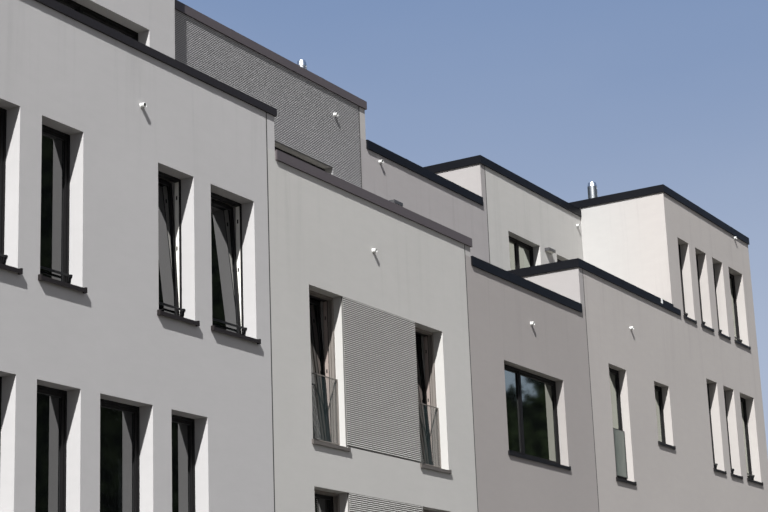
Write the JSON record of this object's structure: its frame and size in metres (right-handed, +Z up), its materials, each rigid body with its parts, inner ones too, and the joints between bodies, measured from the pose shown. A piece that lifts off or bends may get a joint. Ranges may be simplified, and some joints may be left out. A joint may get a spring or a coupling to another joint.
{
  "type": "terraced house row",
  "caption": "Terraced row of flat-roofed rendered houses with deep window reveals, parapets with dark metal copings, roof terraces, set-back penthouses and a tower end.",
  "frame": {"origin": "centre of the bounding box at ground level", "axes": "+X along the row to the right as seen from the street, +Y from the street into the houses, +Z up"},
  "size_m": [24.936, 10.1, 13.28],
  "materials": {
    "render_a": "matt grey render",
    "render_b": "matt light grey render",
    "render_c": "matt taupe grey render",
    "render_d": "matt warm grey render",
    "render_relief": "combed mid grey render",
    "masonry": "plain plaster",
    "concrete": "fair-faced concrete",
    "roofing": "grey roofing sheet",
    "frame_metal": "anthracite powder coat",
    "sill_metal": "anthracite powder coat",
    "rail_metal": "taupe powder coat",
    "guard_metal": "anthracite paint",
    "window_glass": "dark clear glass",
    "guard_glass": "faintly green laminated glass",
    "coping_a": "near-black brown coil coat",
    "coping_b": "brown-grey coil coat",
    "coping_cd": "blue-black coil coat",
    "joint_seal": "dark joint tape",
    "spout_plastic": "off-white",
    "flue_steel": "brushed",
    "lamp_body": "dark flat housing",
    "door_metal": "anthracite paint"
  },
  "bodies": {
    "root": {"front_wall_a_lower": "render_a", "front_wall_a_upper": "render_a", "front_wall_b": "render_b", "front_wall_c": "render_c", "front_wall_d_lower": "render_d", "front_wall_d_upper": "render_d", "tower_front_lower": "render_d", "tower_front_middle": "render_d", "tower_front_upper": "render_d", "rear_wall_a": "render_a", "rear_wall_b": "render_b", "rear_wall_c": "render_c", "rear_wall_d": "render_d", "tower_rear_wall": "render_d", "penthouse_wall_a": "render_a", "penthouse_wall_b": "render_b", "penthouse_wall_c": "render_c", "penthouse_wall_d": "render_d", "party_walls": "masonry", "end_wall_a": "render_a", "end_wall_tower": "render_d", "gable_skins": "render_b", "floors": "concrete", "roof_decks": "roofing", "front_windows_a": "frame_metal", "front_windows_b": "frame_metal", "front_windows_c": "frame_metal", "front_windows_d": "frame_metal", "rear_windows": "frame_metal", "penthouse_windows": "frame_metal", "window_glass": "window_glass", "window_sills": "sill_metal", "blind_rails": "rail_metal", "guard_rails": "guard_metal", "glass_guards": "guard_glass", "coping_a": "coping_a", "coping_b": "coping_b", "coping_c": "coping_cd", "coping_d": "coping_cd", "relief_render": "render_relief", "movement_joints": "joint_seal", "overflow_spouts": "spout_plastic", "flues": "flue_steel", "wall_lamps": "lamp_body", "entrance_doors": "door_metal"}
  },
  "joints": []
}
